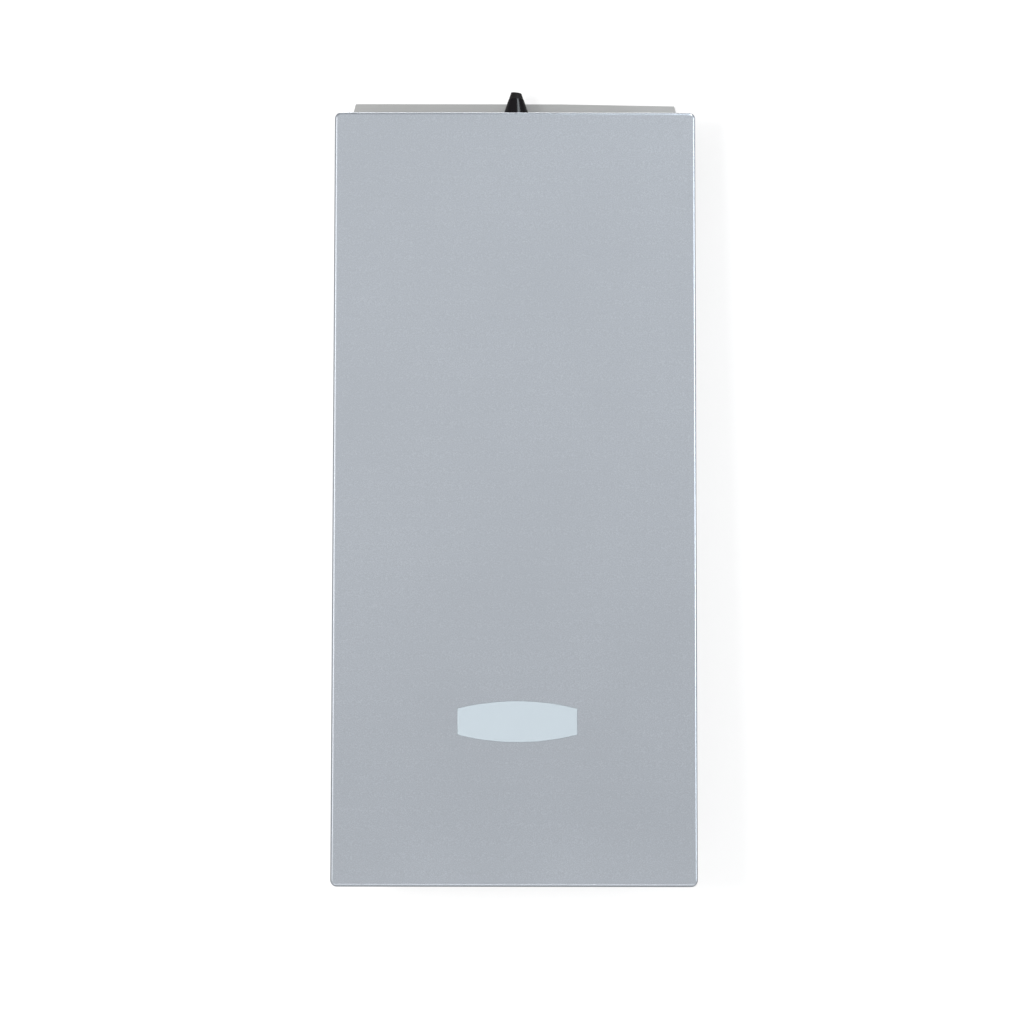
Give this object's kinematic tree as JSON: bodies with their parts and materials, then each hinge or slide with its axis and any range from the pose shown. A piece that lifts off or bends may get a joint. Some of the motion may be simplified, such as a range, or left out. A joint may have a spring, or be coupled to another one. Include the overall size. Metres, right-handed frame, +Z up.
{
  "type": "wall battery unit",
  "caption": "Slim wedge-shaped wall battery on a bolt-on hook bracket, with a pull-off leaning front cover, a status window, a cable boot on top, and a side isolator knob.",
  "frame": {"origin": "centre of the bracket's four wall-bolt holes, on the wall plane", "axes": "+X to the viewer's right, +Y into the wall (the leaning front faces -Y), +Z up"},
  "size_m": [0.45, 0.1258, 0.9908],
  "materials": {
    "zinc": "matt zinc plate",
    "nylon_white": "satin",
    "chassis_paint": "fine textured powder coat",
    "rubber_black": "matt",
    "sink_alu": "anodised",
    "liner_fibre": "matt",
    "busbar_copper": "plated copper",
    "foam": "matt",
    "rail_plastic": "satin",
    "tray_plastic": "satin",
    "board_green": "solder mask",
    "component_black": "satin",
    "contactor_case": "moulded",
    "fuse_ceramic": "glazed",
    "riser_red": "sleeved bar",
    "riser_black": "sleeved bar",
    "led_white": "white solder mask",
    "inner_cover": "satin",
    "screw_steel": "zinc plate",
    "nylon_black": "satin",
    "clear_guard": "clear polycarbonate",
    "terminal_moulding": "moulded",
    "knob_black": "moulded",
    "button_grey": "satin",
    "jack_black": "moulded",
    "cell_can": "blue sleeve over aluminium",
    "boot_rubber": "glossy flare, matt tip",
    "cover_paint": "satin metallic silver",
    "window_diffuser": "satin diffuser",
    "felt": "felt"
  },
  "bodies": {
    "bracket": {"wall_bracket": "zinc", "hook_liners": "nylon_white"},
    "chassis": {"rear_chassis": "chassis_paint", "bulkhead": "zinc", "hanger_rail": "zinc", "wall_bumpers": "rubber_black", "rear_heat_sink": "sink_alu", "back_liner": "liner_fibre", "busbars": "busbar_copper", "cell_spacers": "foam", "clamp_rails": "rail_plastic", "electronics_tray": "tray_plastic", "bms_board": "board_green", "bms_heat_sink": "sink_alu", "bms_components": "component_black", "contactor": "contactor_case", "fuse_holder": "component_black", "main_fuse": "fuse_ceramic", "positive_riser": "riser_red", "negative_riser": "riser_black", "led_board": "led_white", "pack_gasket": "rubber_black", "pack_cover": "inner_cover", "cover_screws": "screw_steel", "cover_sockets": "nylon_black", "terminal_shield": "clear_guard", "terminal_block": "terminal_moulding", "power_terminals": "screw_steel", "isolator_body": "component_black", "button_housing": "nylon_black", "comm_board": "board_green", "data_jacks": "jack_black", "ground_stud": "screw_steel", "cable_boot": "boot_rubber", "boot_lock_nut": "nylon_black", "data_plugs": "nylon_black", "vent_plug": "nylon_black", "cell_11": "cell_can", "cell_12": "cell_can", "cell_13": "cell_can", "cell_14": "cell_can", "cell_15": "cell_can", "cell_21": "cell_can", "cell_22": "cell_can", "cell_23": "cell_can", "cell_24": "cell_can", "cell_25": "cell_can", "cell_31": "cell_can", "cell_32": "cell_can", "cell_33": "cell_can", "cell_34": "cell_can", "cell_35": "cell_can"},
    "cover": {"front_cover": "cover_paint", "status_window": "window_diffuser", "window_frame": "nylon_black", "cover_studs": "screw_steel", "cover_bumpers": "felt"},
    "isolator": {"isolator_shaft": "screw_steel", "isolator_knob": "knob_black"},
    "wake_button": {"wake_button": "button_grey"}
  },
  "joints": [
    {"name": "unit_lift", "type": "slide", "parent": "bracket", "child": "chassis", "axis": [0, 0, 1], "range_m": [0, 0.03]},
    {"name": "cover_pull", "type": "slide", "parent": "chassis", "child": "cover", "axis": [0, -0.9983, 0.0584], "range_m": [0, 0.12]},
    {"name": "isolator_turn", "type": "hinge", "parent": "chassis", "child": "isolator", "pos_m": [0.207, -0.034, 0.01], "axis": [1, 0, 0], "range_deg": [-90, 0]},
    {"name": "wake_press", "type": "slide", "parent": "chassis", "child": "wake_button", "axis": [-1, 0, 0], "range_m": [0, 0.002], "stiffness_N_per_m": 400, "springref_m": -0.003}
  ]
}
